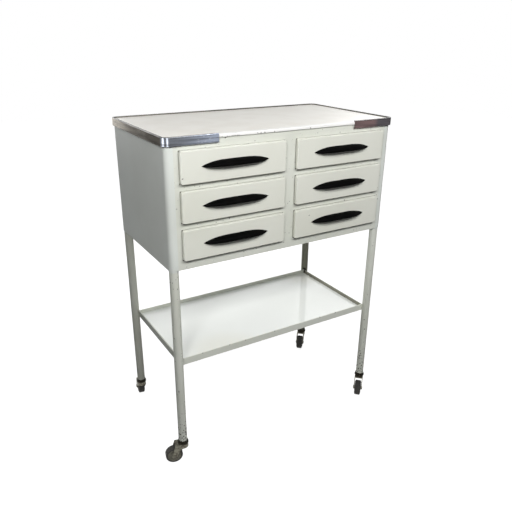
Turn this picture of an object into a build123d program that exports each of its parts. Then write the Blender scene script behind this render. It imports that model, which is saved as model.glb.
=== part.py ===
"""Clinic drawer cabinet on four tubular legs with swivel casters.

A painted sheet steel casing holds six drawers in two columns of three. Under it, four steel
tubes carry an angle frame with an opal glass shelf and stand on small swivel casters.

Millimetres, +Z up, +X to the right seen from the front, front towards -Y.
The origin is on the floor, midway between the four legs.
"""

from build123d import *
import os
from math import cos, radians, sin

# ---------------------------------------------------------------- driving dimensions
# Legs and posts
LEG_X = 338.0  # leg axis, left and right of the middle
LEG_Y = 175.0  # leg axis, in front of and behind the middle
TUBE_R = 12.5
TUBE_WALL = 1.5
LEG_FOOT_Z = 73.0
POST_FOOT_Z = 608.0  # seam between the lower leg and the corner post
SPIGOT_LENGTH = 50.0
SPIGOT_WALL = 1.5
SPIGOT_TAIL = 25.0  # how far the spigot reaches down inside the leg
FIT_GAP = 0.1

# Casing
SHEET = 1.2
CASE_Z0 = 613.0
CASE_Z1 = 939.0
CORNER_RETURN = 8.0  # flat stretch of the side panels past each rounded corner

# Top panel and its aluminium edge trim
TOP_OVERHANG_X = 3.3
TOP_OVERHANG_Y = 4.3
TOP_THICK = 7.0
TOP_CORNER_R = 18.0
TOP_EDGE_R = 2.6
TRIM_WALL = 2.0
TRIM_Z0 = 928.0
TRIM_BEAD_WIDTH = 6.0
TRIM_BEAD_HEIGHT = 3.0
BEAD_SEAT = 0.5  # depth of the rebate in the top panel that the bead lies in
BEAD_GAP = 0.3  # between the bead and the step of that rebate
TRIM_LIP = 1.5
TRIM_FRONT_END_X = 212.0  # the trim stops here on the front, left and right

# Drawers: two columns, three rows
COLUMNS = {"left": -167.5, "right": 167.5}
ROWS = {"top": 875.0, "middle": 777.0, "bottom": 679.0}
FRONT_W = 300.0
FRONT_H = 82.0
FRONT_Y = -199.5  # outer face of the drawer fronts
FRONT_DEPTH = 8.8  # this leaves a narrow dark gap between the pan and the casing
FRONT_SHEET = 1.2
FRONT_CORNER_R = 6.0
FRONT_EDGE_R = 3.0
OPENING_W = 284.0
OPENING_H = 66.0
TRAY_W = 280.0
TRAY_SHEET = 1.0
TRAY_FLOOR = -31.0  # from the middle of the row
TRAY_RIM = 27.0
TRAY_BACK_Y = 160.0
TRAY_CORNER_R = 4.0
FRONT_HEM = 14.0  # width of the hem folded behind the pan
RUNNER_SHEET = 1.5
RUNNER_GAP = 0.2
RUNNER_INSET = 11.5  # how far a runner reaches under the tray
RUNNER_REACH = 12.0  # how far an outer runner reaches past the tray
RUNNER_WEB = 16.0
POST_CLEARANCE = 0.5

# Handles: a spindle split along its length, hollow and open underneath
HANDLE_HALF = 96.0
HANDLE_RISE = 12.0  # radius of the round spindle before it is stretched forward
HANDLE_STRETCH = 1.5
HANDLE_DROP = 3.0  # the lip hangs this far below the line through the tips
SHOULDER_AT = 0.68  # the spindle's shoulders, as a share of its half length
SHOULDER_RISE = 0.75  # and of its radius
HOLLOW_HALF = 74.0
HOLLOW_RISE = 9.2
BOSS_X = 52.0
BOSS_Z = 2.5
BOSS_R = 3.6
BOSS_DEPTH = 9.0
SCREW_R = 1.75
SCREW_HOLE_R = 1.9
SCREW_REACH = 7.5
SCREW_HEAD_R = 3.8
SCREW_HEAD_H = 2.4
SCREW_SLOT = 0.9

# Shelf: an angle frame between the legs with a loose glass plate
SHELF_X = 330.0  # outer faces of the angle frame
SHELF_Y = 167.0
SHELF_Z0 = 317.0
RAIL_HEIGHT = 20.0
RAIL_SHELF = 18.0
RAIL_THICK = 3.0
GLASS_THICK = 6.0
GLASS_GAP = 0.5
GLASS_CORNER_R = 3.0
GLASS_EDGE_R = 1.0

# Casters
WHEEL_R = 25.0
TYRE_BED_R = 20.0
TYRE_BED_HALF = 10.4
TREAD_HALF = 8.4
TREAD_EDGE_R = 1.6
HUB_HALF = 11.2
HUB_R = 7.0
DISC_HALF = 9.4
DISC_DISH = 1.2
TRAIL = 28.0
AXLE_R = 3.0
RUN_GAP = 0.05
AXLE_HEAD_R = 5.0
AXLE_HEAD_H = 1.8
FORK_TOP = 62.0
FORK_HALF = 13.9
FORK_PLATE = 2.2
FORK_NOSE = -15.0
FORK_TAIL = 24.0
FORK_EYE_R = 7.0
EYE_RUN_IN = 30.0  # angle on the axle eye where the cheek's rear edge meets it
EYE_RUN_OUT = 213.0  # and where its lower edge leaves it
KNEE_X = 9.0  # the bend in that lower edge
KNEE_DROP = 16.0  # below the crown
KNEE_R = 4.0
NOSE_HEIGHT = 11.0
NOSE_R = 10.9
CROWN_R = 8.7  # inside radius of the crown's nose and tail
RACE_R = 16.0
RACE_TOP = 67.2
RACE_EDGE_R = 1.4
COLLAR_R = 14.0
COLLAR_Z0 = 67.8
COLLAR_EDGE = 1.0
STEM_R = 5.0
RIVET_R = 7.5
RIVET_Z0 = 57.0
RIVET_Z1 = 59.3
PLUG_LENGTH = 28.0

# Which way each wheel trails from its leg, in degrees from +X
TRAIL_ANGLES = {"front_left": 165.0, "front_right": 224.0, "back_left": 80.0, "back_right": 224.0}
LEG_SIDES = {
    "front_left": (-1, -1),
    "front_right": (1, -1),
    "back_left": (-1, 1),
    "back_right": (1, 1),
}

# ---------------------------------------------------------------- derived sizes
CORNER_R = TUBE_R + SHEET
CASE_X = LEG_X + CORNER_R
CASE_Y = LEG_Y + CORNER_R
CASE_H = CASE_Z1 - CASE_Z0
PANEL_EDGE_X = LEG_X - CORNER_RETURN
TOP_X = CASE_X + TOP_OVERHANG_X
TOP_Y = CASE_Y + TOP_OVERHANG_Y
TOP_Z = CASE_Z1 + TOP_THICK
TRIM_X = TOP_X + TRIM_WALL
TRIM_Y = TOP_Y + TRIM_WALL
TRIM_Z1 = TOP_Z + TRIM_BEAD_HEIGHT
TRIM_R = TOP_CORNER_R + TRIM_WALL
HEM_Y = FRONT_Y + FRONT_DEPTH  # back of the drawer front, where the tray is welded on
SCREW_SEAT_Y = HEM_Y + TRAY_SHEET
TRAY_LENGTH = TRAY_BACK_Y - HEM_Y
CAVITY_END = TRAIL + 2 * WHEEL_R  # the fork's cavity is open behind the wheel
GLASS_Z0 = SHELF_Z0 + RAIL_THICK
GLASS_X = SHELF_X - RAIL_THICK - GLASS_GAP
GLASS_Y = SHELF_Y - RAIL_THICK - GLASS_GAP

os.makedirs("parts", exist_ok=True)


def keep(builder, label):
    """Label a finished piece and write it."""
    builder.part.label = label
    export_step(builder.part, f"parts/{label}.step")


def case_outline(inset=0.0):
    """The casing's rounded outline, or one that lies inset inside it."""
    RectangleRounded(2 * (CASE_X - inset), 2 * (CASE_Y - inset), CORNER_R - inset)


def at_legs():
    """Locations of the leg axes."""
    return Locations(*[(sx * LEG_X, sy * LEG_Y) for sx, sy in LEG_SIDES.values()])


# ---------------------------------------------------------------- casing panels
def make_side_panel(name, side):
    """A folded sheet: flat side, two rounded corners and two short returns."""
    reach = CASE_X - PANEL_EDGE_X
    with BuildPart() as panel:
        with BuildSketch(Plane.XY.offset(CASE_Z0)):
            case_outline()
            with BuildSketch(mode=Mode.SUBTRACT):
                case_outline(SHEET)
            with Locations((side * (PANEL_EDGE_X + reach / 2), 0)):
                Rectangle(reach, 2 * CASE_Y, mode=Mode.INTERSECT)
        extrude(amount=CASE_H)
    keep(panel, name)


make_side_panel("side_panel_left", -1)
make_side_panel("side_panel_right", 1)

with BuildPart() as back_panel:
    with BuildSketch(Plane.XZ.offset(-CASE_Y)):
        with Locations((0, CASE_Z0 + CASE_H / 2)):
            Rectangle(2 * PANEL_EDGE_X, CASE_H)
    extrude(amount=SHEET)
keep(back_panel, "back_panel")

with BuildPart() as front_frame:
    with BuildSketch(Plane.XZ.offset(CASE_Y - SHEET)):
        with Locations((0, CASE_Z0 + CASE_H / 2)):
            Rectangle(2 * PANEL_EDGE_X, CASE_H)
        with Locations(*[(x, z) for x in COLUMNS.values() for z in ROWS.values()]):
            Rectangle(OPENING_W, OPENING_H, mode=Mode.SUBTRACT)
    extrude(amount=SHEET)
keep(front_frame, "front_frame")

with BuildPart() as bottom_plate:
    with BuildSketch(Plane.XY.offset(CASE_Z0)):
        case_outline(SHEET)
        with at_legs():
            Circle(TUBE_R + POST_CLEARANCE, mode=Mode.SUBTRACT)
    extrude(amount=SHEET)
keep(bottom_plate, "bottom_plate")

with BuildPart() as centre_partition:
    with BuildSketch(Plane.XY.offset(CASE_Z0 + SHEET)):
        Rectangle(SHEET, 2 * (CASE_Y - SHEET))
    extrude(amount=CASE_H - SHEET)
keep(centre_partition, "centre_partition")

with BuildPart() as corner_posts:
    with BuildSketch(Plane.XY.offset(POST_FOOT_Z)):
        with at_legs():
            Circle(TUBE_R)
        with at_legs():
            Circle(TUBE_R - TUBE_WALL, mode=Mode.SUBTRACT)
    extrude(amount=CASE_Z1 - POST_FOOT_Z)
keep(corner_posts, "corner_posts")


# ---------------------------------------------------------------- drawer runners
def runner_section(column_x, row_z, side):
    """Angle section under one edge of a drawer: a foot, and a web that hangs at its far end."""
    foot_top = row_z + TRAY_FLOOR - RUNNER_GAP
    foot_in = TRAY_W / 2 - RUNNER_INSET
    foot_out = TRAY_W / 2 + RUNNER_REACH
    if side * column_x < 0:
        foot_out = abs(column_x) - SHEET / 2
    with Locations((column_x + side * (foot_in + foot_out) / 2, foot_top - RUNNER_SHEET / 2)):
        Rectangle(foot_out - foot_in, RUNNER_SHEET)
    with Locations((column_x + side * (foot_out - RUNNER_SHEET / 2), foot_top - RUNNER_WEB / 2)):
        Rectangle(RUNNER_SHEET, RUNNER_WEB)


with BuildPart() as drawer_runners:
    with BuildSketch(Plane.XZ.offset(-(CASE_Y - SHEET))):
        for x in COLUMNS.values():
            for z in ROWS.values():
                runner_section(x, z, -1)
                runner_section(x, z, 1)
    extrude(amount=2 * (CASE_Y - SHEET))
keep(drawer_runners, "drawer_runners")


# ---------------------------------------------------------------- top and trim
def bead_line(gap=0.0):
    """The inner line of the trim's bead, or one that lies a gap inside it."""
    inset = TRIM_BEAD_WIDTH + gap
    RectangleRounded(2 * (TRIM_X - inset), 2 * (TRIM_Y - inset), TRIM_R - inset)


def untrimmed_front(gap=0.0):
    """The middle of the front, where there is no trim."""
    with Locations((0, -TRIM_Y)):
        Rectangle(2 * (TRIM_FRONT_END_X - gap), TRIM_Y, mode=Mode.SUBTRACT)


with BuildPart() as top_panel:
    with BuildSketch(Plane.XY.offset(CASE_Z1)):
        RectangleRounded(2 * TOP_X, 2 * TOP_Y, TOP_CORNER_R)
    extrude(amount=TOP_THICK)
    fillet(top_panel.faces().sort_by(Axis.Z)[-1].edges(), radius=TOP_EDGE_R)
    with BuildSketch(Plane.XY.offset(TOP_Z - BEAD_SEAT)):
        RectangleRounded(2 * TRIM_X, 2 * TRIM_Y, TRIM_R)
        with BuildSketch(mode=Mode.SUBTRACT):
            bead_line(BEAD_GAP)
        untrimmed_front(BEAD_GAP)
    extrude(amount=BEAD_SEAT, mode=Mode.SUBTRACT)
keep(top_panel, "top_panel")

with BuildPart() as edge_trim:
    with BuildSketch(Plane.XY.offset(TRIM_Z0)):
        RectangleRounded(2 * TRIM_X, 2 * TRIM_Y, TRIM_R)
    extrude(amount=TRIM_Z1 - TRIM_Z0)
    fillet(edge_trim.faces().sort_by(Axis.Z)[-1].edges(), radius=TRIM_BEAD_HEIGHT / 2)
    with BuildSketch(Plane.XY.offset(TRIM_Z0 + TRIM_LIP)):
        RectangleRounded(2 * TOP_X, 2 * TOP_Y, TOP_CORNER_R)
    extrude(amount=TOP_Z - BEAD_SEAT - TRIM_Z0 - TRIM_LIP, mode=Mode.SUBTRACT)
    with BuildSketch(Plane.XY.offset(TRIM_Z0)):
        case_outline()
    extrude(amount=TRIM_LIP, mode=Mode.SUBTRACT)
    with BuildSketch(Plane.XY.offset(TOP_Z - BEAD_SEAT)):
        bead_line()
    extrude(amount=BEAD_SEAT + TRIM_BEAD_HEIGHT, mode=Mode.SUBTRACT)
    with BuildSketch(Plane.XY.offset(TRIM_Z0)):
        RectangleRounded(2 * TRIM_X, 2 * TRIM_Y, TRIM_R)
        untrimmed_front()
    extrude(amount=TRIM_Z1 - TRIM_Z0, mode=Mode.INTERSECT)
keep(edge_trim, "edge_trim")


# ---------------------------------------------------------------- legs
def make_leg(name, x, y):
    """A tube with a thinner spigot that goes up into its corner post."""
    bore = TUBE_R - TUBE_WALL
    spigot_r = bore - FIT_GAP
    spigot_in = spigot_r - SPIGOT_WALL
    spigot_foot = POST_FOOT_Z - SPIGOT_TAIL
    with BuildPart() as leg:
        with BuildSketch(Plane(origin=(x, y, 0), x_dir=(1, 0, 0), z_dir=(0, -1, 0))):
            Polygon(
                (bore, LEG_FOOT_Z),
                (TUBE_R, LEG_FOOT_Z),
                (TUBE_R, POST_FOOT_Z),
                (spigot_r, POST_FOOT_Z),
                (spigot_r, POST_FOOT_Z + SPIGOT_LENGTH),
                (spigot_in, POST_FOOT_Z + SPIGOT_LENGTH),
                (spigot_in, spigot_foot),
                (bore, spigot_foot),
                align=None,
            )
        revolve(axis=Axis((x, y, 0), (0, 0, 1)))
    keep(leg, name)


for place, (sx, sy) in LEG_SIDES.items():
    make_leg(f"leg_{place}", sx * LEG_X, sy * LEG_Y)


# ---------------------------------------------------------------- shelf
def make_shelf_rail(name, corners):
    """One side of the angle frame, mitred at its ends and coped to the legs."""
    with BuildPart() as rail:
        with BuildSketch(Plane.XY.offset(SHELF_Z0)):
            Rectangle(2 * SHELF_X, 2 * SHELF_Y)
            Rectangle(2 * (SHELF_X - RAIL_SHELF), 2 * (SHELF_Y - RAIL_SHELF), mode=Mode.SUBTRACT)
        extrude(amount=RAIL_HEIGHT)
        with BuildSketch(Plane.XY.offset(GLASS_Z0)):
            Rectangle(2 * (SHELF_X - RAIL_THICK), 2 * (SHELF_Y - RAIL_THICK))
        extrude(amount=RAIL_HEIGHT, mode=Mode.SUBTRACT)
        with BuildSketch(Plane.XY.offset(SHELF_Z0)):
            Polygon(*corners, align=None)
        extrude(amount=RAIL_HEIGHT, mode=Mode.INTERSECT)
        with BuildSketch(Plane.XY.offset(SHELF_Z0)):
            with at_legs():
                Circle(TUBE_R)
        extrude(amount=RAIL_HEIGHT, mode=Mode.SUBTRACT)
    keep(rail, name)


MITRE_X = SHELF_X - SHELF_Y  # the mitre lines of each end meet on the X axis here
for side, sign in {"left": -1, "right": 1}.items():
    end = [(sign * SHELF_X, -SHELF_Y), (sign * SHELF_X, SHELF_Y), (sign * MITRE_X, 0)]
    make_shelf_rail(f"shelf_rail_{side}", end)
for side, sign in {"front": -1, "back": 1}.items():
    long_side = [(-SHELF_X, sign * SHELF_Y), (SHELF_X, sign * SHELF_Y), (MITRE_X, 0), (-MITRE_X, 0)]
    make_shelf_rail(f"shelf_rail_{side}", long_side)

with BuildPart() as shelf_glass:
    with BuildSketch(Plane.XY.offset(GLASS_Z0)):
        RectangleRounded(2 * GLASS_X, 2 * GLASS_Y, GLASS_CORNER_R)
    extrude(amount=GLASS_THICK)
    fillet(shelf_glass.faces().sort_by(Axis.Z)[-1].edges(), radius=GLASS_EDGE_R)
keep(shelf_glass, "shelf_glass")


# ---------------------------------------------------------------- drawers
def screw_spots(x, z):
    """Locations of the two handle screws on a plane that faces the front."""
    return Locations((x - BOSS_X, z + BOSS_Z), (x + BOSS_X, z + BOSS_Z))


def make_tray(name, x, z):
    """Open box of thin sheet, with rounded corners and holes for the handle screws."""
    middle_y = (HEM_Y + TRAY_BACK_Y) / 2
    with BuildPart() as tray:
        with BuildSketch(Plane.XY.offset(z + TRAY_FLOOR)):
            with Locations((x, middle_y)):
                RectangleRounded(TRAY_W, TRAY_LENGTH, TRAY_CORNER_R)
        extrude(amount=TRAY_RIM - TRAY_FLOOR)
        with BuildSketch(Plane.XY.offset(z + TRAY_FLOOR + TRAY_SHEET)):
            with Locations((x, middle_y)):
                inner_r = TRAY_CORNER_R - TRAY_SHEET
                RectangleRounded(TRAY_W - 2 * TRAY_SHEET, TRAY_LENGTH - 2 * TRAY_SHEET, inner_r)
        extrude(amount=TRAY_RIM - TRAY_FLOOR, mode=Mode.SUBTRACT)
        with BuildSketch(Plane.XZ.offset(-HEM_Y - 2 * TRAY_SHEET)):
            with screw_spots(x, z):
                Circle(SCREW_HOLE_R)
        extrude(amount=3 * TRAY_SHEET, mode=Mode.SUBTRACT)
    keep(tray, name)


def make_front(name, x, z):
    """Pressed pan: flat face, rounded edges and corners, and a hem folded in behind."""
    width_in = FRONT_W - 2 * FRONT_SHEET
    height_in = FRONT_H - 2 * FRONT_SHEET
    with BuildPart() as front:
        with BuildSketch(Plane.XZ.offset(-HEM_Y)):
            with Locations((x, z)):
                RectangleRounded(FRONT_W, FRONT_H, FRONT_CORNER_R)
        extrude(amount=FRONT_DEPTH)
        fillet(front.faces().sort_by(Axis.Y)[0].edges(), radius=FRONT_EDGE_R)
        with BuildSketch(Plane.XZ.offset(-HEM_Y + FRONT_SHEET)):
            with Locations((x, z)):
                RectangleRounded(width_in, height_in, FRONT_CORNER_R - FRONT_SHEET)
        extrude(amount=FRONT_DEPTH - 2 * FRONT_SHEET, mode=Mode.SUBTRACT)
        with BuildSketch(Plane.XZ.offset(-HEM_Y)):
            with Locations((x, z)):
                Rectangle(FRONT_W - 2 * FRONT_HEM, FRONT_H - 2 * FRONT_HEM)
        extrude(amount=FRONT_SHEET, mode=Mode.SUBTRACT)
        with BuildSketch(Plane.XZ.offset(-HEM_Y)):
            with screw_spots(x, z):
                Circle(SCREW_HOLE_R)
        extrude(amount=FRONT_DEPTH, mode=Mode.SUBTRACT)
    keep(front, name)


def half_spindle(x, z, half_length, rise):
    """The front half of a spindle that lies along X, stretched forward from the face."""
    shoulder_x = SHOULDER_AT * half_length
    shoulder_z = SHOULDER_RISE * rise
    with BuildPart(mode=Mode.PRIVATE) as spindle:
        with BuildSketch(Plane(origin=(x, FRONT_Y, z), x_dir=(1, 0, 0), z_dir=(0, -1, 0))):
            with BuildLine():
                Spline(
                    (-half_length, 0),
                    (-shoulder_x, shoulder_z),
                    (0, rise),
                    (shoulder_x, shoulder_z),
                    (half_length, 0),
                )
                Line((half_length, 0), (-half_length, 0))
            make_face()
        revolve(axis=Axis((x, FRONT_Y, z), (1, 0, 0)), revolution_arc=180)
        scale(by=(1, HANDLE_STRETCH, 1), about=(x, FRONT_Y, z))
    return spindle.part


def make_handle(name, x, z):
    """Hood-shaped moulding with pointed tips, open below, with two screw bosses inside."""
    face = Plane.XZ.offset(-FRONT_Y)
    with BuildPart() as hollow:
        add(half_spindle(x, z, HOLLOW_HALF, HOLLOW_RISE))
        with BuildSketch(face):
            with screw_spots(x, z):
                Circle(BOSS_R)
        extrude(amount=BOSS_DEPTH, mode=Mode.SUBTRACT)
    with BuildPart() as handle:
        add(half_spindle(x, z, HANDLE_HALF, HANDLE_RISE))
        add(hollow.part, mode=Mode.SUBTRACT)
        with BuildSketch(face):
            with Locations((x, z - HANDLE_DROP - HANDLE_RISE / 2)):
                Rectangle(2 * HANDLE_HALF, HANDLE_RISE)
        extrude(amount=2 * HANDLE_RISE, mode=Mode.SUBTRACT)
        with BuildSketch(face):
            with screw_spots(x, z):
                Circle(SCREW_R + RUN_GAP)
        extrude(amount=SCREW_REACH + 2 * RUN_GAP, mode=Mode.SUBTRACT)
    keep(handle, name)


def make_handle_screws(name, x, z):
    """Two slotted screws, put in from inside the drawer."""
    with BuildPart() as screws:
        with BuildSketch(Plane.XZ.offset(-SCREW_SEAT_Y - SCREW_HEAD_H)):
            with screw_spots(x, z):
                Circle(SCREW_HEAD_R)
        extrude(amount=SCREW_HEAD_H)
        fillet(screws.faces().group_by(Axis.Y)[-1].edges(), radius=SCREW_HEAD_H / 3)
        with BuildSketch(Plane.XZ.offset(-SCREW_SEAT_Y)):
            with screw_spots(x, z):
                Circle(SCREW_R)
        extrude(amount=SCREW_SEAT_Y - FRONT_Y + SCREW_REACH)
        with BuildSketch(Plane.XZ.offset(-SCREW_SEAT_Y - SCREW_HEAD_H)):
            with screw_spots(x, z):
                Rectangle(2 * SCREW_HEAD_R, SCREW_SLOT)
        extrude(amount=SCREW_SLOT, mode=Mode.SUBTRACT)
    keep(screws, name)


for row, row_z in ROWS.items():
    for column, column_x in COLUMNS.items():
        place = f"{row}_{column}"
        make_tray(f"drawer_tray_{place}", column_x, row_z)
        make_front(f"drawer_front_{place}", column_x, row_z)
        make_handle(f"drawer_handle_{place}", column_x, row_z)
        make_handle_screws(f"handle_screws_{place}", column_x, row_z)


# ---------------------------------------------------------------- casters
def make_stems():
    """Four caster stems: tube plug, collar, shank and the rivet head under the fork."""
    bore = TUBE_R - TUBE_WALL - FIT_GAP
    with BuildPart() as stems:
        for sx, sy in LEG_SIDES.values():
            x = sx * LEG_X
            y = sy * LEG_Y
            with BuildSketch(Plane(origin=(x, y, 0), x_dir=(1, 0, 0), z_dir=(0, -1, 0))):
                Polygon(
                    (0, RIVET_Z0),
                    (RIVET_R, RIVET_Z0),
                    (RIVET_R, RIVET_Z1),
                    (STEM_R, RIVET_Z1),
                    (STEM_R, COLLAR_Z0),
                    (COLLAR_R - COLLAR_EDGE, COLLAR_Z0),
                    (COLLAR_R, COLLAR_Z0 + COLLAR_EDGE),
                    (COLLAR_R, LEG_FOOT_Z - COLLAR_EDGE),
                    (COLLAR_R - COLLAR_EDGE, LEG_FOOT_Z),
                    (bore, LEG_FOOT_Z),
                    (bore, LEG_FOOT_Z + PLUG_LENGTH),
                    (0, LEG_FOOT_Z + PLUG_LENGTH),
                    align=None,
                )
            revolve(axis=Axis((x, y, 0), (0, 0, 1)))
    keep(stems, "caster_stems")


def make_fork(name, x, y, trail):
    """Pressed fork: crown with a rounded nose, two cheeks down to the axle, race cup."""
    side = Plane(origin=(x, y, 0), x_dir=trail, z_dir=trail.cross(Vector(0, 0, 1)))
    backward = Axis((x, y, 0), trail)
    run_in = radians(EYE_RUN_IN)
    run_out = radians(EYE_RUN_OUT)
    with BuildPart() as fork:
        with BuildSketch(side) as cheek:
            Polygon(
                (FORK_NOSE, FORK_TOP),
                (FORK_TAIL, FORK_TOP),
                (TRAIL + FORK_EYE_R * cos(run_in), WHEEL_R + FORK_EYE_R * sin(run_in)),
                (TRAIL + FORK_EYE_R * cos(run_out), WHEEL_R + FORK_EYE_R * sin(run_out)),
                (KNEE_X, FORK_TOP - KNEE_DROP),
                (FORK_NOSE, FORK_TOP - NOSE_HEIGHT),
                align=None,
            )
            fillet(cheek.vertices().group_by(Axis.X)[1], radius=KNEE_R)
            with Locations((TRAIL, WHEEL_R)):
                Circle(FORK_EYE_R)
        extrude(amount=FORK_HALF, both=True)
        nose_edges = fork.edges().filter_by(Axis.Z).group_by(backward)[0]
        fillet(nose_edges, radius=NOSE_R)
        with BuildSketch(Plane(origin=(x, y, 0), x_dir=trail, z_dir=(0, 0, 1))):
            with Locations(((FORK_NOSE + FORK_PLATE + CAVITY_END) / 2, 0)):
                length = CAVITY_END - FORK_NOSE - FORK_PLATE
                RectangleRounded(length, 2 * (FORK_HALF - FORK_PLATE), CROWN_R)
        extrude(amount=FORK_TOP - FORK_PLATE, mode=Mode.SUBTRACT)
        with BuildSketch(Plane.XY.offset(FORK_TOP)):
            with Locations((x, y)):
                Circle(RACE_R)
        extrude(amount=RACE_TOP - FORK_TOP)
        cup_rim = fork.faces().sort_by(Axis.Z)[-1].edges()
        fillet(cup_rim, radius=RACE_EDGE_R)
        with BuildSketch(Plane.XY.offset(FORK_TOP - 2 * FORK_PLATE)):
            with Locations((x, y)):
                Circle(STEM_R + RUN_GAP)
        extrude(amount=RACE_TOP - FORK_TOP + 2 * FORK_PLATE, mode=Mode.SUBTRACT)
        with BuildSketch(side):
            with Locations((TRAIL, WHEEL_R)):
                Circle(AXLE_R)
        extrude(amount=2 * FORK_HALF, both=True, mode=Mode.SUBTRACT)
    keep(fork, name)


def make_axle(name, side, hub_axis):
    """Axle pin with a low domed head at each end."""
    with BuildPart() as axle:
        with BuildSketch(side):
            with Locations((TRAIL, WHEEL_R)):
                Circle(AXLE_R)
        extrude(amount=FORK_HALF, both=True)
        for end in (-1, 1):
            with BuildSketch(side.offset(end * FORK_HALF)):
                with Locations((TRAIL, WHEEL_R)):
                    Circle(AXLE_HEAD_R)
            extrude(amount=end * AXLE_HEAD_H)
        ends = axle.faces().sort_by(hub_axis)
        fillet([*ends[0].edges(), *ends[-1].edges()], radius=AXLE_HEAD_H / 2)
    keep(axle, name)


def make_wheel(name, section, hub_axis):
    """Wheel centre: hub with a running bore, and a disc with slightly dished faces."""
    with BuildPart() as wheel:
        with BuildSketch(section):
            Polygon(
                (-HUB_HALF, AXLE_R + RUN_GAP),
                (HUB_HALF, AXLE_R + RUN_GAP),
                (HUB_HALF, HUB_R),
                (DISC_HALF - DISC_DISH, HUB_R + DISC_DISH),
                (DISC_HALF, TYRE_BED_R - DISC_DISH),
                (DISC_HALF, TYRE_BED_R),
                (-DISC_HALF, TYRE_BED_R),
                (-DISC_HALF, TYRE_BED_R - DISC_DISH),
                (DISC_DISH - DISC_HALF, HUB_R + DISC_DISH),
                (-HUB_HALF, HUB_R),
                align=None,
            )
        revolve(axis=hub_axis)
    keep(wheel, name)


def make_tyre(name, section, hub_axis):
    """Solid tyre with a flat tread and sloping sides."""
    with BuildPart() as tyre:
        with BuildSketch(section) as ring:
            Polygon(
                (-TYRE_BED_HALF, TYRE_BED_R),
                (TYRE_BED_HALF, TYRE_BED_R),
                (TREAD_HALF, WHEEL_R),
                (-TREAD_HALF, WHEEL_R),
                align=None,
            )
            fillet(ring.vertices().group_by(Axis.Y)[-1], radius=TREAD_EDGE_R)
        revolve(axis=hub_axis)
    keep(tyre, name)


make_stems()
for place, (sx, sy) in LEG_SIDES.items():
    leg_x = sx * LEG_X
    leg_y = sy * LEG_Y
    angle = radians(TRAIL_ANGLES[place])
    trail_dir = Vector(cos(angle), sin(angle), 0)
    across = trail_dir.cross(Vector(0, 0, 1))
    hub = Vector(leg_x, leg_y, WHEEL_R) + trail_dir * TRAIL
    hub_line = Axis(hub, across)
    side_plane = Plane(origin=(leg_x, leg_y, 0), x_dir=trail_dir, z_dir=across)
    section_plane = Plane(origin=hub, x_dir=across, z_dir=across.cross(Vector(0, 0, 1)))
    make_fork(f"caster_fork_{place}", leg_x, leg_y, trail_dir)
    make_axle(f"caster_axle_{place}", side_plane, hub_line)
    make_wheel(f"caster_wheel_{place}", section_plane, hub_line)
    make_tyre(f"caster_tyre_{place}", section_plane, hub_line)
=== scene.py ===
"""Looks of the clinic drawer cabinet: the finish of every piece and the studio round it.

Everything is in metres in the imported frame: +Z up, the front towards -Y, and the origin on the
floor midway between the four legs.
"""

import logging
import math
from dataclasses import dataclass, replace
from enum import Enum
from typing import Iterable, Union

import bpy
from mathutils import Matrix, Vector


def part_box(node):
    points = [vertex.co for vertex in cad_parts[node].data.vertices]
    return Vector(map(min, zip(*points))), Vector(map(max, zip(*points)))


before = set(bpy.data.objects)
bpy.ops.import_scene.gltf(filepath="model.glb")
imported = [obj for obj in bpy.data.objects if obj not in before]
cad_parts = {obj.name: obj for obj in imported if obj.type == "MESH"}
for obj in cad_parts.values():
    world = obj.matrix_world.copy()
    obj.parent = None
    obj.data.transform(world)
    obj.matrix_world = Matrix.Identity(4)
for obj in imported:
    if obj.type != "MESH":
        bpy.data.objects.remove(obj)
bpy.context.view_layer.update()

MM = 0.001
IMAGE_PX = 512  # both sides of the photograph's frame

Colour = tuple[float, float, float]
Point = tuple[float, float, float]
Box = tuple[Point, Point]
Span = tuple[float, float]
Socket = bpy.types.NodeSocket
Value = Union[float, Socket]

WHITE: Colour = (1.0, 1.0, 1.0)
EVEN: Point = (1.0, 1.0, 1.0)
DOWN: Point = (0.0, 0.0, -1.0)
LEFTWARD: Point = (-1.0, 0.0, 0.0)
FRONT_LEFTWARD: Point = (-0.52, -0.854, 0.0)

# Where lamps aim
CABINET_MIDDLE: Point = (0.0, 0.0, 0.6)
SHELF_MIDDLE: Point = (0.0, 0.0, 0.33)
FRONT_LEFT_TRIM: Point = (-0.34, -0.18, 0.94)

# Numbered sockets of Blender's colour Mix node
MIX_SHARE, MIX_FIRST, MIX_SECOND, MIX_RESULT = 0, 6, 7, 2

log = logging.getLogger("cabinet")


class Row(Enum):
    """The rows of drawers."""

    TOP = "top"
    MIDDLE = "middle"
    BOTTOM = "bottom"


class Column(Enum):
    """The columns of drawers."""

    LEFT = "left"
    RIGHT = "right"


class Corner(Enum):
    """The corners of the cabinet, each with its leg and caster."""

    FRONT_LEFT = "front_left"
    FRONT_RIGHT = "front_right"
    BACK_LEFT = "back_left"
    BACK_RIGHT = "back_right"


# ---------------------------------------------------------------- node graphs
@dataclass(frozen=True)
class Pattern:
    """Cloudy noise cut to a mask, from 0 where it is below low to its full strength above high."""

    scale: float  # features per metre
    detail: float  # how many finer layers it has
    low: float
    high: float
    stretch: Point = EVEN
    full: float = 1.0


@dataclass(frozen=True)
class Relief:
    """Cloudy noise that stands up from a surface."""

    scale: float  # features per metre
    detail: float
    depth: float  # the real depth of a full step
    strength: float
    stretch: Point = EVEN


def add_node(tree: bpy.types.NodeTree, kind: str, **settings: object) -> bpy.types.Node:
    """Add a node to a tree.

    Args:
        tree: The node tree.
        kind: The node's type name.
        settings: Attributes to set on it.

    Returns:
        The new node.
    """
    made = tree.nodes.new(kind)
    for key, value in settings.items():
        setattr(made, key, value)
    return made


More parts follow.
